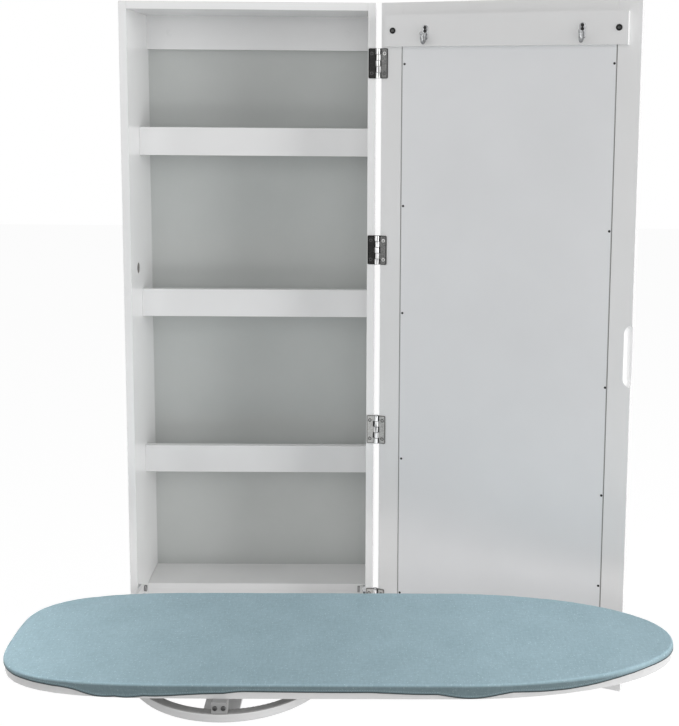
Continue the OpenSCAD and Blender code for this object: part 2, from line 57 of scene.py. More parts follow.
# Camera: a little to the right of the cabinet's middle and just below its top, looking slightly
# down. The lens is raised by a shift, as the photograph's upright edges show, and the colours are
# shown as they are written.
PHOTO_W, PHOTO_H = 679, 726
SENSOR_W = 36
FOCAL_PX, CENTRE_X, CENTRE_Y = 1115.58, 396.0, 230.0
YAW, PITCH, ROLL = 0.00991, 0.11976, 0.00813
CAMERA_PLACE = (0.21652, -1.92760, -0.10287)
camera_data = bpy.data.cameras.new("camera")
camera = bpy.data.objects.new("camera", camera_data)
bpy.context.scene.collection.objects.link(camera)
bpy.context.scene.camera = camera
camera_data.sensor_width = SENSOR_W
camera_data.lens = FOCAL_PX * SENSOR_W / PHOTO_H
camera_data.shift_x = (PHOTO_W / 2 - CENTRE_X) / PHOTO_H
camera_data.shift_y = (CENTRE_Y - PHOTO_H / 2) / PHOTO_H
forward = Vector((math.sin(YAW) * math.cos(PITCH), math.cos(YAW) * math.cos(PITCH), -math.sin(PITCH)))
level = Vector((math.cos(YAW), -math.sin(YAW), 0))
above = level.cross(forward)
right = level * math.cos(ROLL) + above * math.sin(ROLL)
up = above * math.cos(ROLL) - level * math.sin(ROLL)
camera_axes = Matrix((right, up, -forward)).transposed().to_4x4()
camera.matrix_world = Matrix.Translation(CAMERA_PLACE) @ camera_axes
bpy.context.scene.view_settings.view_transform = "Standard"

# Studio: a pale floor far below the wall cabinet and a white surround, both plain white to the
# camera and in reflections. Broad lamps stand on both sides, overhead and low in front, and two
# small narrow ones reach the ends of the board.


def deselect():
    if bpy.context.object and bpy.context.object.mode != "OBJECT":
        bpy.ops.object.mode_set(mode="OBJECT")
    bpy.ops.object.select_all(action="DESELECT")


def new_material(name):
    """A new material, with its shader nodes and their links."""
    material = bpy.data.materials.new(name)
    material.use_nodes = True
    return material, material.node_tree.nodes, material.node_tree.links


def set_inputs(node, **inputs):
    """Sets a shader node's inputs, which are named with _ for a space."""
    for name, value in inputs.items():
        node.inputs[name.replace("_", " ")].default_value = value
    return node


def add_node(tree_nodes, kind, **inputs):
    return set_inputs(tree_nodes.new("ShaderNode" + kind), **inputs)


def reckon(tree_nodes, link, operation, a, b=0.0, c=None):
    """A Math node on two or three values, each a number or another node's output."""
    node = add_node(tree_nodes, "Math")
    node.operation = operation
    for slot, value in enumerate((a, b, c)):
        if isinstance(value, (int, float)):
            node.inputs[slot].default_value = value
        elif value is not None:
            link.new(value, node.inputs[slot])
    return node.outputs[0]


def either_ray(tree_nodes, link, *rays):
    """Gives 1 where a ray is any of those named, and 0 elsewhere."""
    seen = add_node(tree_nodes, "LightPath")
    found = seen.outputs[rays[0]]
    for ray in rays[1:]:
        found = reckon(tree_nodes, link, "MAXIMUM", found, seen.outputs[ray])
    return found


FLOOR_Z, FLOOR_W = -1.74, 24
deselect()
bpy.ops.mesh.primitive_plane_add(size=FLOOR_W, location=(0, 0, FLOOR_Z))
floor = bpy.context.object
floor.name = "studio_floor"
floor_paint, n, link = new_material("studio_floor_paint")
n.clear()
out = add_node(n, "OutputMaterial")
glow = add_node(n, "Emission", Color=(1, 1, 1, 1), Strength=0.92)
thin = add_node(n, "BsdfDiffuse", Color=(0.2, 0.2, 0.2, 1))
lit = add_node(n, "AddShader")
link.new(glow.outputs[0], lit.inputs[0])
link.new(thin.outputs[0], lit.inputs[1])
pale = add_node(n, "BsdfDiffuse", Color=(0.8, 0.8, 0.8, 1))
pick = add_node(n, "MixShader")
link.new(either_ray(n, link, "Is Camera Ray", "Is Glossy Ray"), pick.inputs[0])
link.new(pale.outputs[0], pick.inputs[1])
link.new(lit.outputs[0], pick.inputs[2])
link.new(pick.outputs[0], out.inputs["Surface"])
floor.data.materials.append(floor_paint)

SURROUND_LIGHT = 0.25
world = bpy.data.worlds.new("studio_world")
bpy.context.scene.world = world
world.use_nodes = True
n, link = world.node_tree.nodes, world.node_tree.links
n.clear()
out = add_node(n, "OutputWorld")
sky = add_node(n, "Background", Color=(1, 1, 1, 1))
is_seen = either_ray(n, link, "Is Camera Ray", "Is Glossy Ray", "Is Transmission Ray")
strength = reckon(n, link, "MULTIPLY_ADD", is_seen, 1 - SURROUND_LIGHT, SURROUND_LIGHT)
link.new(strength, sky.inputs["Strength"])
link.new(sky.outputs[0], out.inputs["Surface"])


def lamp(name, spot, aim, width, height, power, spread=math.pi):
    """A rectangle of light that stands at spot and faces aim, with its power in watts."""
    data = bpy.data.lights.new(name, "AREA")
    data.shape = "RECTANGLE"
    data.size, data.size_y = width, height
    data.energy = power
    data.spread = spread
    light = bpy.data.objects.new(name, data)
    bpy.context.scene.collection.objects.link(light)
    light.location = spot
    light.rotation_euler = (Vector(aim) - Vector(spot)).to_track_quat("-Z", "Y").to_euler()
    light.visible_camera = False


NARROW = math.radians(40)
lamp("overhead_lamp", (0.25, -1.6, 2.1), (0.15, -0.3, -0.8), 2.4, 1.6, 5.5)
lamp("front_lamp", (0.1, -3.6, 0.6), (0.1, 0, -0.5), 3.0, 2.0, 21.0)
lamp("low_lamp", (0.2, -3.2, -1.7), (0.1, -0.2, -0.2), 3.0, 1.0, 11.0)
lamp("left_lamp", (-2.3, -1.5, 0.1), (-0.1, -0.2, -0.6), 1.4, 2.0, 14.5)
lamp("right_lamp", (4.4, -2.0, -0.1), (0, 0, -0.5), 2.4, 3.4, 150)
lamp("left_end_lamp", (-0.5, -0.8, 0.5), (-0.52, -0.6, -0.85), 0.5, 0.5, 0.9, NARROW)
lamp("right_end_lamp", (0.75, -0.85, 0.5), (0.53, -0.6, -0.85), 0.5, 0.5, 0.3, NARROW)

# Cabinet: flat panels of fibreboard in a satin white laminate, glued and dowelled together.
# The shelves, their front rails and the hanging cleat are of the same board.
LEVELS = ("upper", "middle", "lower")
BOARD_EDGE = 0.0006
WELD_GAP = 0.00002
FLAT_BELOW, SHARP_ABOVE = math.radians(1), math.radians(40)


def grain(tree_nodes, link, scale, detail, roughness=0.5, stretch=(1, 1, 1)):
    """Noise that stays with its piece, drawn out along an axis where stretch is small."""
    place = add_node(tree_nodes, "TexCoord")
    drawn = add_node(tree_nodes, "Mapping", Scale=stretch)
    cloud = add_node(tree_nodes, "TexNoise", Scale=scale, Detail=detail, Roughness=roughness)
    link.new(place.outputs["Object"], drawn.inputs["Vector"])
    link.new(drawn.outputs["Vector"], cloud.inputs["Vector"])
    return cloud.outputs["Fac"]


def two_tone(tree_nodes, link, share, dark, pale, stops=(0, 1)):
    """A colour that runs from dark to pale as share goes from the first stop to the second."""
    ramp = add_node(tree_nodes, "ValToRGB")
    for element, stop, colour in zip(ramp.color_ramp.elements, stops, (dark, pale)):
        element.position = stop
        element.color = (*colour, 1)
    link.new(share, ramp.inputs["Fac"])
    return ramp.outputs["Color"]


def relief(tree_nodes, link, skin, height, strength, depth):
    """Gives a surface a fine relief, of depth metres at full strength."""
    bump = add_node(tree_nodes, "Bump", Strength=strength, Distance=depth)
    link.new(height, bump.inputs["Height"])
    link.new(bump.outputs["Normal"], skin.inputs["Normal"])


def satin_board(name, tone, tint=(1, 1, 1), gloss=0.18):
    """White laminate: a little clouded in tone, with the faint peel of its pressed film."""
    material, n, link = new_material(name)
    skin = n["Principled BSDF"]
    cloud = grain(n, link, 6, 3)
    dark, pale = ([tone * share * c for c in tint] for share in (0.975, 1.02))
    link.new(two_tone(n, link, cloud, dark, pale, (0.3, 0.7)), skin.inputs["Base Color"])
    relief(n, link, skin, grain(n, link, 420, 2), 0.05, 0.0004)
    rub = add_node(n, "MapRange", To_Min=gloss * 0.85, To_Max=gloss * 1.3)
    link.new(cloud, rub.inputs["Value"])
    link.new(rub.outputs["Result"], skin.inputs["Roughness"])
    return material


def dress(names, material, edge=0.0):
    """Gives CAD nodes their finish, and softens their sharp edges by edge metres."""
    for name in names:
        piece = nodes[name]
        piece.data.materials.clear()
        piece.data.materials.append(material)
        if edge:
            weld = piece.modifiers.new("weld", "WELD")
            weld.merge_threshold = WELD_GAP
            flat = piece.modifiers.new("flat_faces", "DECIMATE")
            flat.decimate_type = "DISSOLVE"
            flat.angle_limit = FLAT_BELOW
            soft = piece.modifiers.new("eased_edges", "BEVEL")
            soft.width = edge
            soft.segments = 2
            soft.limit_method = "ANGLE"
            soft.angle_limit = SHARP_ABOVE


laminate = satin_board("white_laminate", 0.83)
dress(["side_left", "side_right", "top_panel", "bottom_panel", "hanging_cleat"], laminate, BOARD_EDGE)
dress(["shelf_" + where for where in LEVELS], laminate, BOARD_EDGE)
dress(["rail_" + where for where in LEVELS], laminate, BOARD_EDGE)
dress(["bottom_shelf", "bottom_riser"], laminate, BOARD_EDGE)

# Back panel: thin hardboard, painted a soft grey-green on its smooth face and bare brown behind.
# It is pinned to the carcass and to the backs of the shelves with small brads driven from behind.
BRAD_R, BRAD_H, BRAD_EASING, BRAD_PROUD, BRAD_INSET = 0.0013, 0.0010, 0.0003, 0.00003, 0.006
BRADS_UP, BRAD_COLUMNS = 9, (-0.1, 0.0, 0.1)


def tint_where(tree_nodes, link, mask, under, over, blend="MIX"):
    """Puts one colour over another where the mask is 1."""
    mix = add_node(tree_nodes, "Mix")
    mix.data_type = "RGBA"
    mix.blend_type = blend
    link.new(mask, mix.inputs[0])
    for slot, colour in ((6, under), (7, over)):
        if isinstance(colour, tuple):
            mix.inputs[slot].default_value = (*colour, 1)
        else:
            link.new(colour, mix.inputs[slot])
    return mix.outputs[2]


hardboard, n, link = new_material("grey_hardboard")
skin = set_inputs(n["Principled BSDF"], Roughness=0.6)
fibre = grain(n, link, 260, 6, roughness=0.7)
patch = add_node(n, "MapRange", From_Min=0.35, From_Max=0.65, To_Min=0.0, To_Max=0.5)
link.new(grain(n, link, 9, 4), patch.inputs["Value"])
speckle = reckon(n, link, "MULTIPLY_ADD", fibre, 0.5, patch.outputs["Result"])
painted = two_tone(n, link, speckle, (0.524, 0.545, 0.533), (0.565, 0.582, 0.572))
bare = two_tone(n, link, speckle, (0.200, 0.125, 0.068), (0.330, 0.215, 0.120))
face = add_node(n, "NewGeometry")
facing = add_node(n, "SeparateXYZ")
link.new(face.outputs["True Normal"], facing.inputs["Vector"])
at_back = reckon(n, link, "GREATER_THAN", facing.outputs["Y"], 0.5)
link.new(tint_where(n, link, at_back, painted, bare), skin.inputs["Base Color"])
relief(n, link, skin, fibre, 0.12, 0.0003)
dress(["back_panel"], hardboard)


def metal(name, dark, pale, roughness, fineness=300):
    """A worn metal whose tone runs from dark to pale in fine patches, with a faint bump."""
    material, n, link = new_material(name)
    skin = set_inputs(n["Principled BSDF"], Metallic=1, Roughness=roughness)
    wear = grain(n, link, fineness, 4)
    link.new(two_tone(n, link, wear, dark, pale, (0.3, 0.7)), skin.inputs["Base Color"])
    relief(n, link, skin, wear, 0.1, 0.0002)
    return material


def pick_faces(piece, test):
    """Selects, in edit mode, the faces whose middle and normal pass the test."""
    mesh = bmesh.from_edit_mesh(piece.data)
    bpy.ops.mesh.select_mode(type="FACE")
    bpy.ops.mesh.select_all(action="DESELECT")
    for face in mesh.faces:
        face.select_set(test(face.calc_center_median(), face.normal))
    bmesh.update_edit_mesh(piece.data)


def round_disc(name, radius, height, sides, easing):
    """A disc that stands on the XY plane at the origin, its upper rim rounded."""
    deselect()
    bpy.ops.mesh.primitive_cylinder_add(vertices=sides, radius=radius, depth=height,
                                        location=(0, 0, height / 2))
    disc = bpy.context.object
    disc.name = name
    bpy.ops.object.transform_apply(location=True)
    bpy.ops.object.mode_set(mode="EDIT")
    pick_faces(disc, lambda middle, normal: normal.z > 0.9)
    bpy.ops.mesh.bevel(offset=easing, segments=3, affect="EDGES")
    bpy.ops.object.mode_set(mode="OBJECT")
    bpy.ops.object.shade_smooth_by_angle(angle=SHARP_ABOVE)
    return disc


def take_up(*pieces):
    """Selects these pieces alone, and makes the first of them the active one."""
    deselect()
    for piece in pieces:
        piece.select_set(True)
    bpy.context.view_layer.objects.active = pieces[0]


def set_out(pattern, name, places):
    """Copies a small part to each place in turn and joins the copies into one piece."""
    copies = []
    for where in places:
        one = pattern.copy()
        one.data = pattern.data.copy()
        one.data.transform(where)
        bpy.context.scene.collection.objects.link(one)
        copies.append(one)
    take_up(*copies)
    if len(copies) > 1:
        bpy.ops.object.join()
    bpy.data.objects.remove(pattern, do_unlink=True)
    copies[0].name = name
    return copies[0]


def fit(piece, finishes, body):
    """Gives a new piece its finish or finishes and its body."""
    piece.data.materials.clear()
    for finish in finishes if isinstance(finishes, list) else [finishes]:
        piece.data.materials.append(finish)
    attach(piece, body)


zinc = metal("zinc_plate", (0.44, 0.45, 0.46), (0.58, 0.59, 0.60), 0.34)
panel_low, panel_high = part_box("back_panel")
facing_wall = Matrix.Rotation(-math.pi / 2, 4, "X")
brad_spots = []
for step in range(BRADS_UP):
    z = panel_low[2] + BRAD_INSET + (panel_high[2] - panel_low[2] - 2 * BRAD_INSET) * step / (BRADS_UP - 1)
    for x in (panel_low[0] + BRAD_INSET, panel_high[0] - BRAD_INSET):
        brad_spots.append((x, z))
for name in ("top_panel", "shelf_upper", "shelf_middle", "shelf_lower", "bottom_shelf", "bottom_panel"):
    low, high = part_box(name)
    for x in BRAD_COLUMNS:
        brad_spots.append((x, (low[2] + high[2]) / 2))
brad = round_disc("brad", BRAD_R, BRAD_H, 12, BRAD_EASING)
brads = set_out(brad, "back_brads", [
    Matrix.Translation((x, panel_high[1] - BRAD_H + BRAD_PROUD, z)) @ facing_wall for x, z in brad_spots])
fit(brads, zinc, "cabinet")

# Screw caps: two white plastic caps that close the wall-screw holes in the cleat. They are
# pressed in almost flush and match the laminate, so that they hardly show.
CAP_R, CAP_H, CAP_EASING, CAP_X = 0.0052, 0.0003, 0.0002, 0.150
plastic = satin_board("white_plastic", 0.83)
cleat_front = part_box("hanging_cleat")[0][1]
facing_room = Matrix.Rotation(math.pi / 2, 4, "X")
cap = round_disc("cap", CAP_R, CAP_H, 32, CAP_EASING)
caps = set_out(cap, "screw_caps", [
    Matrix.Translation((x, cleat_front, 0)) @ facing_room for x in (-CAP_X, CAP_X)])
fit(caps, plastic, "cabinet")

# Cord hole: bored straight through the left side. Its wall is the panel's raw fibreboard, with
# painted shade that darkens it deeper into the hole, so that it is palest at its mouth.
HOLE_R, HOLE_DROP, HOLE_SETBACK = 0.009, 0.427, 0.054
LINING_T, LINING_GAP, SIDE_T = 0.0004, 0.00005, 0.012
HOLE_SHADE_DEPTH = 0.004


def own_axes(tree_nodes, link, **moved):
    """The x, y and z of a piece's own place, moved and turned as a Mapping node is told."""
    place = add_node(tree_nodes, "TexCoord")
    mapping = add_node(tree_nodes, "Mapping", **moved)
    axes = add_node(tree_nodes, "SeparateXYZ")
    link.new(place.outputs["Object"], mapping.inputs["Vector"])
    link.new(mapping.outputs["Vector"], axes.inputs["Vector"])
    return axes.outputs


side_low, side_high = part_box("side_left")
hole_y, hole_z = side_low[1] + HOLE_SETBACK, side_high[2] - HOLE_DROP
deselect()
bpy.ops.mesh.primitive_cylinder_add(vertices=48, radius=HOLE_R - LINING_GAP, depth=SIDE_T,
                                    end_fill_type="NOTHING")
lining = bpy.context.object
lining.name = "cord_hole_wall"
bpy.ops.object.mode_set(mode="EDIT")
bpy.ops.mesh.select_all(action="SELECT")
bpy.ops.mesh.subdivide(number_cuts=1)
bpy.ops.mesh.normals_make_consistent(inside=False)
bpy.ops.object.mode_set(mode="OBJECT")
bpy.ops.object.shade_smooth()
wall = lining.modifiers.new("wall", "SOLIDIFY")
wall.thickness = LINING_T
wall.offset = -1
bpy.ops.object.modifier_apply(modifier=wall.name)
across = Matrix.Rotation(math.pi / 2, 4, "Y")
lining.data.transform(Matrix.Translation((side_low[0] + SIDE_T / 2, hole_y, hole_z)) @ across)
raw_edge, n, link = new_material("raw_board_edge")
skin = set_inputs(n["Principled BSDF"], Roughness=0.9)
mouth = side_low[0] + SIDE_T
# Painted shade: the wall is darkest deep in the hole and palest at its mouth
hole_shade_ramp = add_node(n, "MapRange", From_Min=mouth - HOLE_SHADE_DEPTH, From_Max=mouth, To_Min=-0.25, To_Max=0.45)
link.new(own_axes(n, link)["X"], hole_shade_ramp.inputs["Value"])
paler = reckon(n, link, "ADD", grain(n, link, 700, 4), hole_shade_ramp.outputs["Result"])
raw_tone = two_tone(n, link, paler, (0.02, 0.018, 0.016), (0.34, 0.33, 0.31))
link.new(raw_tone, skin.inputs["Base Color"])
fit(lining, raw_edge, "cabinet")

# Hinges: four steel butt hinges with mottled leaves. Their tones are painted light and shade: the two upper
# hinges are shaded copies of the steel, darkest on the frame leaves, the two lower hinges a lit one, and
# the rolled barrels carry a painted highlight in streaks.
LEAF_L, LEAF_H, LEAF_RIM = 0.0153, 0.0465, 0.0012
BARREL_REACH, BARREL_GAP = 0.0041, 0.0012
KNUCKLES, KNUCKLE_LINE, GAP_FROM = 5, 0.05, 0.62
HINGES = (1, 2, 3, 4)
pin_low, pin_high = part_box("hinge_pin_1")
hinge_axis = ((pin_low[0] + pin_high[0]) / 2, (pin_low[1] + pin_high[1]) / 2)
first_hinge_z = (pin_low[2] + pin_high[2]) / 2
hinge_pitch = pin_low[2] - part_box("hinge_pin_2")[0][2]


def hinge_metal(name, dark, pale, rim):
    """Leaf metal with painted shade on its rim and in the gap beside the barrel, a painted highlight in
    streaks on the barrel, and dark lines between the knuckles.
    """
    material = metal(name, dark, pale, 0.42, fineness=420)
    n, link = material.node_tree.nodes, material.node_tree.links
    skin = n["Principled BSDF"]
    colour = skin.inputs["Base Color"].links[0].from_socket
    axes = own_axes(n, link, Location=(-hinge_axis[0], -hinge_axis[1], -first_hinge_z))
    across = reckon(n, link, "MULTIPLY", axes["X"], axes["X"])
    radius = reckon(n, link, "MULTIPLY_ADD", axes["Y"], axes["Y"], across)
    radius = reckon(n, link, "SQRT", radius)
    height = reckon(n, link, "PINGPONG", axes["Z"], hinge_pitch / 2)
    # Painted shade on a thin band round each leaf's rim
    past_end = reckon(n, link, "GREATER_THAN", height, LEAF_H / 2 - LEAF_RIM)
    past_side = reckon(n, link, "GREATER_THAN", radius, LEAF_L - LEAF_RIM)
    rim_shade_mask = reckon(n, link, "MAXIMUM", past_end, past_side)
    colour = tint_where(n, link, rim_shade_mask, colour, rim)
    # A painted highlight in streaks on the barrel
    streaks = grain(n, link, 620, 3, stretch=(1, 1, 0.06))
    barrel_highlight = two_tone(n, link, streaks, (0.20, 0.20, 0.20), (0.86, 0.86, 0.86), (0.42, 0.56))
    on_barrel = reckon(n, link, "LESS_THAN", radius, BARREL_REACH)
    colour = tint_where(n, link, on_barrel, colour, barrel_highlight)
    knuckle = reckon(n, link, "MULTIPLY_ADD", height, KNUCKLES / LEAF_H, 0.5)
    off_joint = reckon(n, link, "PINGPONG", knuckle, 0.5)
    at_joint = reckon(n, link, "LESS_THAN", off_joint, KNUCKLE_LINE)
    at_joint = reckon(n, link, "MULTIPLY", at_joint, on_barrel)
    colour = tint_where(n, link, at_joint, colour, (0.16, 0.16, 0.16))
    # Painted shade in the gap beside the barrel, on the side of the other leaf
    of_door = reckon(n, link, "COMPARE", knuckle, 1.5, 0.5)
    own_side = reckon(n, link, "MULTIPLY_ADD", of_door, -2.0, 1.0)
    far_side = reckon(n, link, "MULTIPLY", axes["X"], own_side)
    by_barrel = reckon(n, link, "LESS_THAN", radius, BARREL_REACH + BARREL_GAP)
    gap_shade_mask = reckon(n, link, "GREATER_THAN", far_side, BARREL_REACH * GAP_FROM)
    gap_shade_mask = reckon(n, link, "MULTIPLY", gap_shade_mask, by_barrel)
    colour = tint_where(n, link, gap_shade_mask, colour, (0.012, 0.012, 0.012))
    link.new(colour, skin.inputs["Base Color"])
    return material


# Lit and shaded copies of one hinge steel: painted shade on the upper hinges, darkest on the frame leaves,
# and painted light on the lower two
leaf_tones = {
    "frame_leaf_shaded": ((0.012, 0.012, 0.012), (0.034, 0.034, 0.033), (0.006, 0.006, 0.006)),
    "door_leaf_half_shaded": ((0.075, 0.075, 0.075), (0.180, 0.180, 0.176), (0.030, 0.030, 0.030)),
    "leaf_lit": ((0.27, 0.266, 0.258), (0.47, 0.463, 0.450), (0.15, 0.15, 0.145)),
}
leaf_metals = {name: hinge_metal(name, *tones) for name, tones in leaf_tones.items()}
for i in HINGES:
    lit_hinge = i > 2
    dress([f"frame_leaf_{i}"], leaf_metals["leaf_lit" if lit_hinge else "frame_leaf_shaded"])
    dress([f"door_leaf_{i}"], leaf_metals["leaf_lit" if lit_hinge else "door_leaf_half_shaded"])
    dress([f"hinge_pin_{i}"], zinc)

# Hinge screws: two steel cross-head screws in each leaf, their heads sunk in the leaf's face.
# Their steel is painted light and shade: most are a shaded copy like the leaves, and a few of the door's a
# lit one.
HINGE_SCREW_R, HINGE_SCREW_H, HINGE_SCREW_PROUD = 0.0029, 0.0012, 0.0004
HINGE_SCREW_X, HINGE_SCREW_END = 0.0103, 0.008
LEAF_FACE = 0.0002
DOOR_OPEN = math.radians(157.7)
# The cross recess, as shares of the head's radius and height
RECESS_REACH, RECESS_W, RECESS_DEPTH = 0.66, 0.46, 0.6


def cross_screw(name, radius, height):
    """A low domed head with a cross recess, standing on the XY plane at the origin."""
    head = round_disc(name, radius, height, 32, height * 0.5)
    for turn in (0, math.pi / 2):
        deselect()
        bpy.ops.mesh.primitive_cube_add(size=1, location=(0, 0, height))
        blade = bpy.context.object
        blade.dimensions = (radius * 2 * RECESS_REACH, radius * RECESS_W, height * 2 * RECESS_DEPTH)
        blade.rotation_euler = (0, 0, turn)
        bpy.ops.object.transform_apply(location=True, rotation=True, scale=True)
        take_up(head)
        cut = head.modifiers.new("recess", "BOOLEAN")
        cut.operation = "DIFFERENCE"
        cut.object = blade
        bpy.ops.object.modifier_apply(modifier=cut.name)
        bpy.data.objects.remove(blade, do_unlink=True)
    # Two empty slots, which fit fills: the head's finish and that of its recess, dark with dirt and painted
    # shade
    head.data.materials.append(None)
    head.data.materials.append(None)
    for face in head.data.polygons:
        off_axis = face.center.to_2d().length
        inside = off_axis < radius * RECESS_REACH * 1.02 and height * 0.1 < face.center.z < height * 0.95
        face.material_index = 1 if inside else 0
    return head


door_frame = Matrix.Translation((*hinge_axis, 0)) @ Matrix.Rotation(DOOR_OPEN - math.pi, 4, "Z")
leaf_screw_places = {"frame": [], "lit_heads": [], "shaded_heads": []}
for i in HINGES:
    low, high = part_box(f"frame_leaf_{i}")
    for k, z in enumerate((low[2] + HINGE_SCREW_END, high[2] - HINGE_SCREW_END)):
        sunk = LEAF_FACE + HINGE_SCREW_H - HINGE_SCREW_PROUD
        # Each screw stopped at its own angle when it was driven in
        spin = Matrix.Rotation(0.4 * i + 1.1 * k, 4, "Z")
        at_frame = Matrix.Translation((hinge_axis[0] - HINGE_SCREW_X, hinge_axis[1] + sunk, z))
        at_door = door_frame @ Matrix.Translation((HINGE_SCREW_X, sunk, z))
        leaf_screw_places["frame"].append(at_frame @ facing_room @ spin)
        # Painted light picks out a few of the door's screws, and the rest carry painted shade
        finish = "lit_heads" if i < 3 and (k or i == 2) else "shaded_heads"
        leaf_screw_places[finish].append(at_door @ facing_room @ spin)
# A shaded and a lit copy of one screw steel: painted shade and painted light
shaded_screw_steel = metal("shaded_screw_steel", (0.05, 0.05, 0.05), (0.10, 0.10, 0.10), 0.4)
lit_screw_steel = metal("lit_screw_steel", (0.42, 0.42, 0.42), (0.62, 0.62, 0.61), 0.3)
# Dark dirt and painted shade in the screws' cross recesses
recess_dirt_and_shade = metal("recess_dirt_and_shade", (0.012, 0.012, 0.012), (0.03, 0.03, 0.03), 0.6)
frame_screws = set_out(cross_screw("screw", HINGE_SCREW_R, HINGE_SCREW_H), "frame_hinge_screws",
                       leaf_screw_places["frame"])
fit(frame_screws, [shaded_screw_steel, recess_dirt_and_shade], "cabinet")
for finish, skin_metal in (("lit_heads", lit_screw_steel), ("shaded_heads", shaded_screw_steel)):
    door_screws = set_out(cross_screw("screw", HINGE_SCREW_R, HINGE_SCREW_H), f"door_hinge_screws_{finish}",
                          leaf_screw_places[finish])
    fit(door_screws, [skin_metal, recess_dirt_and_shade], "door")

# Door: a white frame of two stiles and two rails that holds the mirror behind its front lip,
# packed out with a raw filler board and closed inside with a thin white backing board.
BACKING_EDGE, SEAM_W = 0.0003, 0.0013
dress(["door_stile_hinge", "door_stile_free", "door_rail_top", "door_rail_bottom"], laminate, BOARD_EDGE)
backing = satin_board("white_backing", 0.825, tint=(0.985, 0.995, 1.01), gloss=0.3)
n, link = backing.node_tree.nodes, backing.node_tree.links
skin = n["Principled BSDF"]
unshaded_backing = skin.inputs["Base Color"].links[0].from_socket
into_door = door_frame.inverted()
door_x = [(into_door @ corner.co).x for corner in nodes["door_backing"].data.vertices]
axes = own_axes(n, link, Location=into_door.translation, Rotation=into_door.to_euler())
# Painted shade in a thin band along the backing's side edges, where it meets the frame
from_middle = reckon(n, link, "SUBTRACT", axes["X"], (min(door_x) + max(door_x)) / 2)
from_middle = reckon(n, link, "ABSOLUTE", from_middle)
seam_shade_mask = reckon(n, link, "GREATER_THAN", from_middle, (max(door_x) - min(door_x)) / 2 - SEAM_W)
link.new(tint_where(n, link, seam_shade_mask, unshaded_backing, (0.34, 0.34, 0.335)), skin.inputs["Base Color"])
dress(["door_backing"], backing, BACKING_EDGE)
filler, n, link = new_material("raw_filler")
skin = set_inputs(n["Principled BSDF"], Roughness=0.85)
place = add_node(n, "TexCoord")
chips = add_node(n, "TexVoronoi", Scale=380)
link.new(place.outputs["Object"], chips.inputs["Vector"])
chip_tone = two_tone(n, link, chips.outputs["Distance"], (0.36, 0.25, 0.14), (0.56, 0.42, 0.27))
link.new(chip_tone, skin.inputs["Base Color"])
dress(["door_filler"], filler)

# Mirror: a plain sheet of silvered glass, laid into the door's frame from behind. Its reflection
# is even, with the faintest cool cast.
silver, n, link = new_material("silvered_glass")
skin = set_inputs(n["Principled BSDF"], Metallic=1, Roughness=0.015, Coat_Weight=0.4, Coat_Roughness=0.01)
silver_tone = two_tone(n, link, grain(n, link, 3, 2), (0.86, 0.885, 0.88), (0.90, 0.92, 0.915))
link.new(silver_tone, skin.inputs["Base Color"])
dress(["mirror"], silver)

# Backing nails: small flat-headed nails that hold the backing board to the frame, set out by
# hand and so not quite in line.
NAIL_R, NAIL_H, NAIL_EASING, NAIL_PROUD = 0.0019, 0.0010, 0.0003, 0.0003
DOOR_FACE = 0.0018
z_top = cad_box[1][2]
nail_spots = [(0.0433, -0.094), (0.0428, -0.315), (0.0431, -0.486), (0.0434, -0.725), (0.0429, -0.952),
              (0.3682, -0.094), (0.3682, -0.338), (0.3692, -0.573), (0.3686, -0.740), (0.3681, -0.883)]
nail = round_disc("nail", NAIL_R, NAIL_H, 16, NAIL_EASING)
nail_steel = metal("nail_steel", (0.02, 0.02, 0.02), (0.05, 0.05, 0.05), 0.5)
nails = set_out(nail, "backing_nails", [
    door_frame @ Matrix.Translation((x, DOOR_FACE + NAIL_H - NAIL_PROUD, z_top + z)) @ facing_room
    for x, z in nail_spots])
fit(nails, nail_steel, "door")

# Hook strip: a white batten across the top of the door, held by a screw in a dark cup washer
# at each end.
CUP_R, CUP_H, CUP_EASING = 0.0047, 0.0016, 0.0008
CUP_LIP, CUP_DEPTH, CUP_SEAT = 0.00036, 0.0008, 0.00072
STRIP_SCREW_R, STRIP_SCREW_H = 0.0024, 0.0011
STRIP_T, STRIP_ENDS, STRIP_TURNS = 0.012, (0.0278, 0.3758), (0.3, 1.0)
dress(["hook_strip"], laminate, BOARD_EDGE)
strip_low, strip_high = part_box("strip_screws")
strip_z = (strip_low[2] + strip_high[2]) / 2
strip_face = DOOR_FACE - STRIP_T
cup = round_disc("cup", CUP_R, CUP_H, 40, CUP_EASING)
bpy.ops.object.mode_set(mode="EDIT")
pick_faces(cup, lambda middle, normal: normal.z > 0.99)
bpy.ops.mesh.inset(thickness=CUP_LIP, depth=0)
bpy.ops.mesh.inset(thickness=CUP_LIP, depth=-CUP_DEPTH)
bpy.ops.object.mode_set(mode="OBJECT")
on_strip = [door_frame @ Matrix.Translation((x, strip_face, strip_z)) @ facing_room for x in STRIP_ENDS]
cups = set_out(cup, "strip_cups", on_strip)
black_steel = metal("black_steel", (0.018, 0.018, 0.018), (0.045, 0.045, 0.045), 0.38)
fit(cups, black_steel, "door")
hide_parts("strip_screws")
in_cup = Matrix.Translation((0, 0, CUP_SEAT))
strip_heads = set_out(cross_screw("screw", STRIP_SCREW_R, STRIP_SCREW_H), "strip_screw_heads", [
    where @ in_cup @ Matrix.Rotation(turn, 4, "Z") for where, turn in zip(on_strip, STRIP_TURNS)])
fit(strip_heads, [shaded_screw_steel, recess_dirt_and_shade], "door")

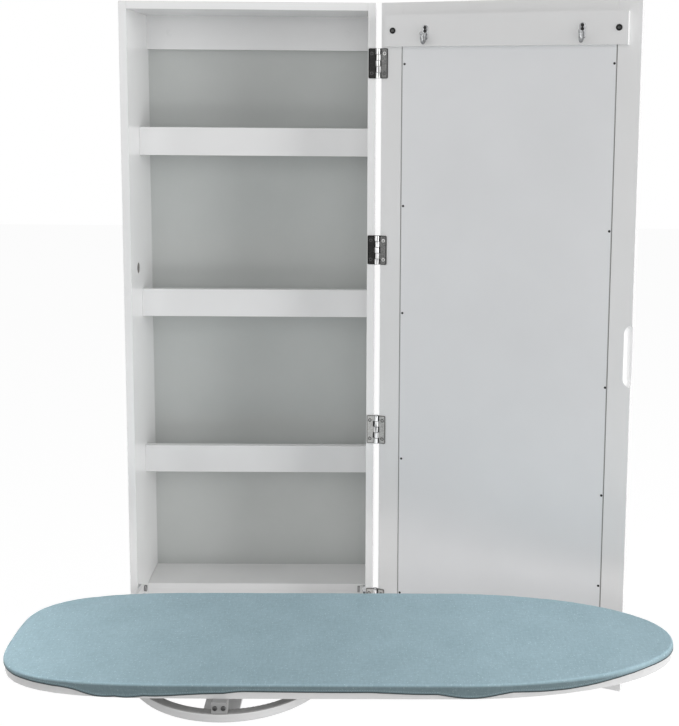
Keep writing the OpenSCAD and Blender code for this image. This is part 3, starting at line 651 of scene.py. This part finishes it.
# Hooks: two small chromed robe hooks. Each has a round-ended plate with two screws, and a
# tapering prong that drops, sweeps out and turns up to a ball.
PLATE_W, PLATE_T, PLATE_LOW, PLATE_HIGH = 0.0090, 0.0018, -0.0120, 0.0110
PLATE_ROUND, PLATE_EASING = 0.00414, 0.00072
PLATE_SCREW_R, PLATE_SCREW_H, PLATE_SCREW_SUNK, PLATE_SCREWS = 0.0026, 0.0010, 0.00027, (0.0074, 0.0022)
BALL_R = 0.0026
# Each point of the prong has its y, its z and the prong's radius there
prong_path = [(-0.0006, -0.0015, 0.0029), (-0.0028, -0.0070, 0.0031), (-0.0052, -0.0130, 0.0030),
              (-0.0098, -0.0168, 0.0027), (-0.0146, -0.0140, 0.0024), (-0.0168, -0.0075, 0.0021),
              (-0.0176, -0.0020, 0.0019)]
chrome, n, link = new_material("chrome")
skin = set_inputs(n["Principled BSDF"], Metallic=1, Roughness=0.08)
# The chrome's dark and pale mottle is a painted reflection
chrome_reflection_tone = two_tone(n, link, grain(n, link, 230, 2), (0.06, 0.06, 0.062), (0.50, 0.51, 0.52))
link.new(chrome_reflection_tone, skin.inputs["Base Color"])
hook_boxes = {name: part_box(name) for name in ("hook_left", "hook_right")}
hook_z = hook_boxes["hook_left"][1][2] - PLATE_HIGH


def robe_hook(name, x):
    """One hook, in the strip's frame: x along the strip, y into it and z up."""
    deselect()
    bpy.ops.mesh.primitive_cube_add(size=1, location=(0, -PLATE_T / 2, (PLATE_LOW + PLATE_HIGH) / 2))
    plate = bpy.context.object
    plate.dimensions = (PLATE_W, PLATE_T, PLATE_HIGH - PLATE_LOW)
    bpy.ops.object.transform_apply(location=True, scale=True)
    bpy.ops.object.mode_set(mode="EDIT")
    mesh = bmesh.from_edit_mesh(plate.data)
    bpy.ops.mesh.select_mode(type="EDGE")
    bpy.ops.mesh.select_all(action="DESELECT")
    for edge in mesh.edges:
        a, b = (v.co for v in edge.verts)
        edge.select_set(abs(a.y - b.y) > PLATE_T / 2)
    bmesh.update_edit_mesh(plate.data)
    bpy.ops.mesh.bevel(offset=PLATE_ROUND, segments=8, affect="EDGES")
    pick_faces(plate, lambda middle, normal: normal.y < -0.9)
    bpy.ops.mesh.bevel(offset=PLATE_EASING, segments=3, affect="EDGES")
    bpy.ops.object.mode_set(mode="OBJECT")
    curve = bpy.data.curves.new("prong", "CURVE")
    curve.dimensions = "3D"
    curve.bevel_depth = 1.0
    curve.bevel_resolution = 6
    curve.resolution_u = 10
    curve.use_fill_caps = True
    spline = curve.splines.new("NURBS")
    spline.points.add(len(prong_path) - 1)
    for point, (y, z, radius) in zip(spline.points, prong_path):
        point.co = (0, y, z, 1)
        point.radius = radius
    spline.use_endpoint_u = True
    spline.order_u = 4
    prong = bpy.data.objects.new("prong", curve)
    bpy.context.scene.collection.objects.link(prong)
    bpy.ops.mesh.primitive_uv_sphere_add(segments=24, ring_count=14, radius=BALL_R,
                                         location=(0, *prong_path[-1][:2]))
    ball = bpy.context.object
    bpy.ops.object.transform_apply(location=True)
    take_up(prong)
    bpy.ops.object.convert(target="MESH")
    take_up(plate, prong, ball)
    bpy.ops.object.join()
    bpy.ops.object.shade_smooth_by_angle(angle=SHARP_ABOVE)
    plate.name = name
    plate.data.transform(door_frame @ Matrix.Translation((x, strip_face, hook_z)))
    fit(plate, chrome, "door")
    return plate


door_along = Vector((math.cos(DOOR_OPEN - math.pi), math.sin(DOOR_OPEN - math.pi)))
for name, (low, high) in hook_boxes.items():
    middle = Vector(((low[0] + high[0]) / 2 - hinge_axis[0], (low[1] + high[1]) / 2 - hinge_axis[1]))
    along = middle.dot(door_along)
    hook_piece = robe_hook("robe_" + name, along)
    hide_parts(name)
    plate_seat = strip_face - PLATE_T + PLATE_SCREW_SUNK
    seats = [door_frame @ Matrix.Translation((along, plate_seat, hook_z + rise)) @ facing_room
             for rise in PLATE_SCREWS]
    plate_screw = set_out(cross_screw("screw", PLATE_SCREW_R, PLATE_SCREW_H), name + "_screw", seats)
    fit(plate_screw, [nail_steel, recess_dirt_and_shade], "door")

# Swing arms: flat steel bars in white powder coat, which turn on shouldered bolts in the
# cabinet's sides and rest on small zinc-plated angles when the board is out.
ARM_EDGE, BOLT_EDGE = 0.0005, 0.0006
coat, n, link = new_material("white_powder_coat")
skin = set_inputs(n["Principled BSDF"], Roughness=0.34)
coat_tone = two_tone(n, link, grain(n, link, 14, 2), (0.74, 0.74, 0.74), (0.78, 0.78, 0.78))
link.new(coat_tone, skin.inputs["Base Color"])
relief(n, link, skin, grain(n, link, 900, 2), 0.25, 0.0002)
dress(["arm_left", "arm_right"], coat, ARM_EDGE)
dress(["arm_rests", "pivot_washers"], zinc)
pivot_steel = metal("pivot_steel", (0.16, 0.16, 0.16), (0.30, 0.30, 0.30), 0.4)
dress(["pivot_bolts"], pivot_steel, BOLT_EDGE)

# Swivel carrier: a powder-coated steel ring on two trunnions, with a flat bar across it that
# carries the swivel stud. Clips keep the arms on, and a nylon washer takes the board's thrust.
nylon = satin_board("white_nylon", 0.72, tint=(1, 0.995, 0.975), gloss=0.4)
# The ring's top faces are darkened and mottled by painted shade from the board above, and its other faces
# are a darker copy of the white coat, also painted shade
ring_coat, n, link = new_material("ring_coat_shaded_top")
skin = set_inputs(n["Principled BSDF"], Roughness=0.5)
face = add_node(n, "NewGeometry")
facing = add_node(n, "SeparateXYZ")
link.new(face.outputs["Normal"], facing.inputs["Vector"])
upward = reckon(n, link, "GREATER_THAN", facing.outputs["Z"], 0.6)
shaded_top = two_tone(n, link, grain(n, link, 120, 4), (0.22, 0.22, 0.215), (0.34, 0.34, 0.335))
link.new(tint_where(n, link, upward, (0.64, 0.64, 0.64), shaded_top), skin.inputs["Base Color"])
dress(["ring"], ring_coat)
dress(["hub_bar", "trunnion_left", "trunnion_right"], coat)
dress(["trunnion_clips", "swivel_stud"], zinc)
dress(["thrust_washer"], nylon)

# Board: a laminated panel with a pressed steel flange screwed under it, which turns on the
# stud, and four nylon glides that run on the ring.
FLANGE_T, FLANGE_SCREWS, FLANGE_SCREW_CIRCLE = 0.003, 4, 0.034
FLANGE_SCREW_R, FLANGE_SCREW_H = 0.0038, 0.0016
GLIDES, GLIDE_EDGE = 4, 0.0006
GLIDE_SCREW_R, GLIDE_SCREW_H, GLIDE_SCREW_SUNK, GLIDE_SCREW_SIDE = 0.0031, 0.0016, 0.00016, 0.0052
dress(["swivel_flange"], zinc)
grey_nylon = satin_board("grey_nylon", 0.30, gloss=0.45)
dress(["glides"], grey_nylon, GLIDE_EDGE)
# The board's laminate is a darker copy of the cabinet's white laminate, painted shade
board_laminate = satin_board("board_laminate", 0.67)
dress(["board_panel"], board_laminate)
stud_low, stud_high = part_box("swivel_stud")
swivel = Vector(((stud_low[0] + stud_high[0]) / 2, (stud_low[1] + stud_high[1]) / 2))
flange_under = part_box("swivel_flange")[1][2] - FLANGE_T
facing_down = Matrix.Rotation(math.pi, 4, "X")
under_flange = []
for k in range(FLANGE_SCREWS):
    turn = math.radians(45 + 90 * k)
    x = swivel.x + FLANGE_SCREW_CIRCLE * math.cos(turn)
    y = swivel.y + FLANGE_SCREW_CIRCLE * math.sin(turn)
    seat = Matrix.Translation((x, y, flange_under)) @ facing_down
    under_flange.append(seat @ Matrix.Rotation(turn, 4, "Z"))
flange_screws = set_out(cross_screw("screw", FLANGE_SCREW_R, FLANGE_SCREW_H), "flange_screws", under_flange)
fit(flange_screws, [lit_screw_steel, recess_dirt_and_shade], "board")
ring_low, ring_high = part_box("ring")
ring_r = (ring_high[0] - ring_low[0]) / 2
glide_mid = (ring_high[2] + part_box("glides")[1][2]) / 2
facing_out = Matrix.Rotation(math.pi / 2, 4, "Y")
glide_ends = []
for k in range(GLIDES):
    for side in (-GLIDE_SCREW_SIDE, GLIDE_SCREW_SIDE):
        turn = Matrix.Rotation(math.pi / 2 * k, 4, "Z")
        end = turn @ Matrix.Translation((ring_r - GLIDE_SCREW_SUNK, side, 0)) @ facing_out
        glide_ends.append(Matrix.Translation((swivel.x, swivel.y, glide_mid)) @ end)
glide_screws = set_out(cross_screw("screw", GLIDE_SCREW_R, GLIDE_SCREW_H), "glide_screws", glide_ends)
fit(glide_screws, [shaded_screw_steel, recess_dirt_and_shade], "board")

# Pad: a sheet of needled felt cut to the board's outline, drawn in a little underneath and
# rounded at its shoulder, so that it lies flat under the cover.
NOSE_CURVE, BLUNT_CURVE, BLUNT_POWER = 0.300, 0.300, 3.5
NOSE_SHARE, SIDE_SHARE, BLUNT_SHARE = 26 / 64, 8 / 64, 22 / 64
POINTS_AROUND = 512
PAD_SPINE, FELT_LUMP, LUMPS_PER_M = 0.0005, 0.0002, 45
MERGE_GAP = 0.00005
board_low, board_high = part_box("board_panel")
half_w = (board_high[1] - board_low[1]) / 2
nose_c = board_high[0] - swivel.x - NOSE_CURVE
blunt_c = board_low[0] - swivel.x + BLUNT_CURVE
side_l = nose_c - blunt_c


def fuller(value):
    """Swells a sine or cosine, which makes the blunt end fuller than a round one."""
    return math.copysign(abs(value) ** (2 / BLUNT_POWER), value)


def edge_point(share, grow):
    """A point of the board's outline moved outwards by grow, share of the way round it."""
    if share < NOSE_SHARE:
        a = math.pi * (share / NOSE_SHARE - 0.5)
        return nose_c + (NOSE_CURVE + grow) * math.cos(a), (half_w + grow) * math.sin(a)
    share -= NOSE_SHARE
    if share < SIDE_SHARE:
        return nose_c - side_l * share / SIDE_SHARE, half_w + grow
    share -= SIDE_SHARE
    if share < BLUNT_SHARE:
        a = math.pi * (share / BLUNT_SHARE + 0.5)
        return blunt_c + (BLUNT_CURVE + grow) * fuller(math.cos(a)), (half_w + grow) * fuller(math.sin(a))
    share -= BLUNT_SHARE
    return blunt_c + side_l * share / SIDE_SHARE, -half_w - grow


def ring_mesh(name, rows):
    """A skin through rows of points, each row a list of (x, y, z) around the swivel."""
    mesh = bpy.data.meshes.new(name)
    points = [(swivel.x + x, swivel.y + y, z) for row in rows for x, y, z in row]
    faces = []
    for k in range(len(rows) - 1):
        for i in range(POINTS_AROUND):
            j = (i + 1) % POINTS_AROUND
            a, b = k * POINTS_AROUND, (k + 1) * POINTS_AROUND
            faces.append((a + i, b + i, b + j, a + j))
    mesh.from_pydata(points, [], faces)
    mesh.update()
    piece = bpy.data.objects.new(name, mesh)
    bpy.context.scene.collection.objects.link(piece)
    return piece


pad_low, pad_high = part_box("board_pad")
pad_t = pad_high[2] - pad_low[2]
# Each pair is a row's way out from the board's outline, and its height as a share of the pad's
pad_profile = [(PAD_SPINE - half_w, 0.0), (-0.060, 0.0), (-0.0016, 0.0), (-0.0005, 0.12), (-0.0001, 0.40),
               (-0.0008, 0.68), (-0.0024, 0.88), (-0.0050, 0.965), (-0.012, 0.985), (-0.030, 0.995),
               (-0.060, 0.998), (PAD_SPINE - half_w, 0.998)]
pad_rows = []
for grow, share_up in pad_profile:
    row = []
    for i in range(POINTS_AROUND):
        x, y = edge_point(i / POINTS_AROUND, grow)
        felt = noise.noise(Vector((x * LUMPS_PER_M, y * LUMPS_PER_M, 3 * share_up)))
        sink = FELT_LUMP * abs(felt) if share_up > 0.9 else 0.0
        row.append((x, y, pad_low[2] + pad_t * share_up - sink))
    pad_rows.append(row)
pad = ring_mesh("felt_pad", pad_rows)
take_up(pad)
bpy.ops.object.mode_set(mode="EDIT")
bpy.ops.mesh.select_all(action="SELECT")
bpy.ops.mesh.remove_doubles(threshold=MERGE_GAP)
bpy.ops.mesh.select_all(action="DESELECT")
bpy.ops.mesh.select_mode(type="EDGE")
bpy.ops.mesh.select_non_manifold()
bpy.ops.mesh.fill()
bpy.ops.mesh.select_all(action="SELECT")
bpy.ops.mesh.normals_make_consistent(inside=False)
bpy.ops.object.mode_set(mode="OBJECT")
bpy.ops.object.shade_smooth()
felt_cloth, n, link = new_material("cream_felt")
skin = set_inputs(n["Principled BSDF"], Roughness=0.95, Sheen_Weight=0.4)
wool = grain(n, link, 500, 6, roughness=0.7)
link.new(two_tone(n, link, wool, (0.62, 0.61, 0.57), (0.76, 0.75, 0.71)), skin.inputs["Base Color"])
relief(n, link, skin, wool, 0.5, 0.0005)
fit(pad, felt_cloth, "board")
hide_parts("board_pad")

# Cover: blue-grey cotton cut to the board's outline with a turned and stitched hem. It is pulled
# over the pad and the board's edge, where it gathers at the ends and its hem runs in soft waves.
COVER_OUT, COVER_SUNK, SHOULDER_R, CLOTH_T = 0.0014, 0.0003, 0.0042, 0.0008
SKIRT_H, FOLD_DROP, FOLD_FLARE, END_LIFT = 0.0085, 0.009, 0.0004, 0.0022
HEM_W, HEM_BULGE, HEM_STEP, HEM_CURL, HEM_TUCK = 0.0045, 0.0003, 0.0008, 0.0006, 0.0002
TOP_ROWS, ROW_CROWDING, SHOULDER_ROWS, SKIRT_ROWS = 26, 1.6, 7, 9
PUCKER, PUCKER_REACH, PUCKER_SWELL, HEM_SWELL = 0.0005, 0.016, 0.00028, 0.8
FINE_PUCKERS, BROAD_PUCKERS, FULL_GATHER = 105, 38, 0.12
NOSE_FROM, BLUNT_FROM, END_BLEND = 0.36, -0.19, 0.16
# Painted shade on the skirt: its shift at the blunt end, its fade at the nose, where it starts and how far
# it ramps
BLUNT_SHADE_SHIFT, NOSE_FADE, SHADE_FROM, SHADE_DEPTH = 0.0042, 0.6, 0.0022, 0.0030
# Each dip of the hem has its place and its width as shares of the way round, and its depth
dips = [(0.0085, 0.0195, 0.95), (0.066, 0.04, 0.55), (0.20, 0.05, 0.35), (0.36, 0.035, 0.7),
        (0.49, 0.03, 0.5), (0.60, 0.03, 0.3), (0.842, 0.014, 1), (0.852, 0.012, 1),
        (0.862, 0.014, 0.75), (0.94, 0.05, 0.15), (0.985, 0.03, 0.40)]


def fold(share):
    """How deep the hem hangs, from 0 to 1, share of the way round the board."""
    deepest = 0.0
    for middle, width, depth in dips:
        off = abs(share - middle)
        deepest = max(deepest, depth * math.exp(-(min(off, 1 - off) / width) ** 2))
    return deepest


def gather(share):
    """Small puckers where the cloth is drawn in: strongest round the two ends, faint on the sides."""
    x, y = edge_point(share, 0)
    bend = min(1.0, abs(x - (nose_c + blunt_c) / 2) / (side_l / 2 + FULL_GATHER)) ** 2
    fine = noise.noise(Vector((x * FINE_PUCKERS, y * FINE_PUCKERS, 0.5)))
    broad = noise.noise(Vector((x * BROAD_PUCKERS, y * BROAD_PUCKERS, 7.5)))
    return (0.4 + 0.6 * bend) * (0.65 * fine + 0.6 * broad)


def eased(part):
    """A smooth step from 0 to 1."""
    part = min(1.0, max(0.0, part))
    return part * part * (3 - 2 * part)


shares = [i / POINTS_AROUND for i in range(POINTS_AROUND)]
along_board = [edge_point(share, 0)[0] for share in shares]
at_nose = [eased((x - NOSE_FROM) / END_BLEND) for x in along_board]
at_blunt = [eased((BLUNT_FROM - x) / END_BLEND) for x in along_board]
folds = [fold(share) for share in shares]
puckers = [gather(share) for share in shares]
# Each row is a list of (grow outwards, height, unrolled distance past the shoulder's start)
flat_edge = COVER_OUT - SHOULDER_R
cover_rows = []
for k in range(TOP_ROWS + 1):
    inward = (half_w + flat_edge) * (1 - k / TOP_ROWS) ** ROW_CROWDING
    near = math.exp(-inward / PUCKER_REACH)
    cover_rows.append([(flat_edge - inward, PUCKER * near * p, -inward) for p in puckers])
for k in range(1, SHOULDER_ROWS + 1):
    a = math.pi / 2 * k / SHOULDER_ROWS
    out = flat_edge + SHOULDER_R * math.sin(a)
    down = -SHOULDER_R * (1 - math.cos(a))
    lift = PUCKER * math.cos(a)
    swell = PUCKER_SWELL * math.sin(a)
    cover_rows.append([(out + swell * p, down + lift * p, SHOULDER_R * a) for p in puckers])
for k in range(1, SKIRT_ROWS + 1):
    row = []
    for f, p, nose, blunt in zip(folds, puckers, at_nose, at_blunt):
        hem = SKIRT_H - END_LIFT * (nose + blunt) + FOLD_DROP * f
        along = k / SKIRT_ROWS
        down = SHOULDER_R + (hem - SHOULDER_R) * along
        bulge = HEM_BULGE * min(1.0, max(0.0, (HEM_W - (hem - down)) / HEM_STEP))
        out = COVER_OUT + FOLD_FLARE * f * along + PUCKER_SWELL * p * (1 + HEM_SWELL * along) + bulge
        row.append((out, -down, SHOULDER_R * math.pi / 2 + down - SHOULDER_R))
    cover_rows.append(row)
cover_rows.append([(grow - HEM_CURL, height - HEM_TUCK, past + HEM_CURL)
                   for grow, height, past in cover_rows[-1]])

z_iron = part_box("board_cover")[1][2]
rows, unrolled = [], []
for row in cover_rows:
    line, flat_line = [], []
    for share, (grow, height, past) in zip(shares, row):
        line.append((*edge_point(share, grow), z_iron - COVER_SUNK + height))
        flat_line.append(edge_point(share, flat_edge + past))
    rows.append(line)
    unrolled.append(flat_line)
cover = ring_mesh("ironing_cover", rows)
mesh = cover.data
uv = mesh.uv_layers.new(name="cut_cloth")
hang = mesh.attributes.new("hang", "FLOAT", "POINT")
to_hem = mesh.attributes.new("to_hem", "FLOAT", "POINT")
run = mesh.attributes.new("run", "FLOAT", "POINT")
runs = [0.0]
for share, last_share in zip(shares[1:], shares):
    runs.append(runs[-1] + math.dist(edge_point(share, 0), edge_point(last_share, 0)))
for k, row in enumerate(cover_rows):
    for i, (grow, height, past) in enumerate(row):
        spot = k * POINTS_AROUND + i
        # Painted shade on the skirt starts past the shoulder, fades at the nose and starts later at the
        # blunt end
        below = (past - SHADE_FROM) * (1 - NOSE_FADE * at_nose[i])
        hang.data[spot].value = below - BLUNT_SHADE_SHIFT * at_blunt[i]
        to_hem.data[spot].value = cover_rows[-1][i][2] - past
        run.data[spot].value = runs[i]
for loop in mesh.loops:
    k, i = divmod(loop.vertex_index, POINTS_AROUND)
    uv.data[loop.index].uv = unrolled[k][i]
take_up(cover)
bpy.ops.object.mode_set(mode="EDIT")
bpy.ops.mesh.select_all(action="SELECT")
bpy.ops.mesh.remove_doubles(threshold=MERGE_GAP)
bpy.ops.mesh.normals_make_consistent(inside=False)
bpy.ops.object.mode_set(mode="OBJECT")
top_face = max(mesh.polygons, key=lambda face: face.area)
if top_face.normal.z < 0:
    mesh.flip_normals()
bpy.ops.object.shade_smooth()
wall = cover.modifiers.new("cloth_thickness", "SOLIDIFY")
wall.thickness = CLOTH_T
wall.offset = -1
bpy.ops.object.modifier_apply(modifier=wall.name)

WEAVE_STEP = 0.014
STITCH_LINE, STITCH_PITCH, STITCH_HALF_W, STITCH_SHARE = 0.0040, 0.0030, 0.00028, 0.66
HEM_SHADE = 0.0021
cotton, n, link = new_material("blue_grey_cotton")
skin = set_inputs(n["Principled BSDF"], Roughness=0.68, Specular_IOR_Level=0.3, Sheen_Weight=0.16,
                  Sheen_Roughness=0.4, Sheen_Tint=(0.85, 0.95, 1.0, 1))
cut = add_node(n, "UVMap")
cut.uv_map = "cut_cloth"


def threads(scale, detail, stretch=(1, 1, 1)):
    """Noise on the cut cloth, drawn out along an axis where stretch is small."""
    turn = add_node(n, "Mapping", Scale=stretch)
    slub = add_node(n, "TexNoise", Scale=scale, Detail=detail)
    link.new(cut.outputs["UV"], turn.inputs["Vector"])
    link.new(turn.outputs["Vector"], slub.inputs["Vector"])
    return slub.outputs["Fac"]


def weave(direction):
    """Soft ribs across the given direction, 4.4 mm apart."""
    band = add_node(n, "TexWave", Scale=1 / WEAVE_STEP, Distortion=0.6, Detail=1)
    band.bands_direction = direction
    link.new(cut.outputs["UV"], band.inputs["Vector"])
    return band.outputs["Fac"]


def measure(name):
    """One of the measures that were written on the cover's points."""
    at = add_node(n, "Attribute")
    at.attribute_name = name
    return at.outputs["Fac"]


slubs = reckon(n, link, "ADD", threads(64, 4, (7, 1, 1)), threads(64, 4, (1, 7, 1)))
tone = reckon(n, link, "ADD", slubs, threads(220, 5))
tone = reckon(n, link, "ADD", tone, threads(16, 3))
tone = reckon(n, link, "MULTIPLY", tone, 1 / 4)
cloth = two_tone(n, link, tone, (0.328, 0.469, 0.530), (0.412, 0.573, 0.641), (0.40, 0.62))
is_speck = reckon(n, link, "GREATER_THAN", threads(420, 1), 0.685)
cloth = tint_where(n, link, is_speck, cloth, (0.570, 0.730, 0.780))
# Painted shade darkens the skirt that hangs down the board's sides
shade = add_node(n, "MapRange", From_Min=0.0, From_Max=SHADE_DEPTH, To_Min=0.0, To_Max=1.0)
link.new(measure("hang"), shade.inputs["Value"])
cloth = tint_where(n, link, shade.outputs["Result"], cloth, (0.363, 0.362, 0.351), blend="MULTIPLY")
above_hem = measure("to_hem")
# Painted shade in a thin dark line along the hem's turned edge
hem_shade_mask = reckon(n, link, "LESS_THAN", above_hem, HEM_SHADE)
cloth = tint_where(n, link, hem_shade_mask, cloth, (0.030, 0.042, 0.045))
off_line = reckon(n, link, "SUBTRACT", above_hem, STITCH_LINE)
off_line = reckon(n, link, "ABSOLUTE", off_line)
on_line = reckon(n, link, "LESS_THAN", off_line, STITCH_HALF_W)
count = reckon(n, link, "MULTIPLY", measure("run"), 1 / STITCH_PITCH)
dash = reckon(n, link, "LESS_THAN", reckon(n, link, "FRACT", count), STITCH_SHARE)
stitch = reckon(n, link, "MULTIPLY", on_line, dash)
cloth = tint_where(n, link, stitch, cloth, (0.22, 0.30, 0.33))
link.new(cloth, skin.inputs["Base Color"])
woven = reckon(n, link, "MAXIMUM", weave("X"), weave("Y"))
cloth_relief = reckon(n, link, "ADD", woven, stitch)
cloth_relief = reckon(n, link, "ADD", cloth_relief, slubs)
relief(n, link, skin, cloth_relief, 0.22, 0.00025)
fit(cover, cotton, "board")
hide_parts("board_cover")
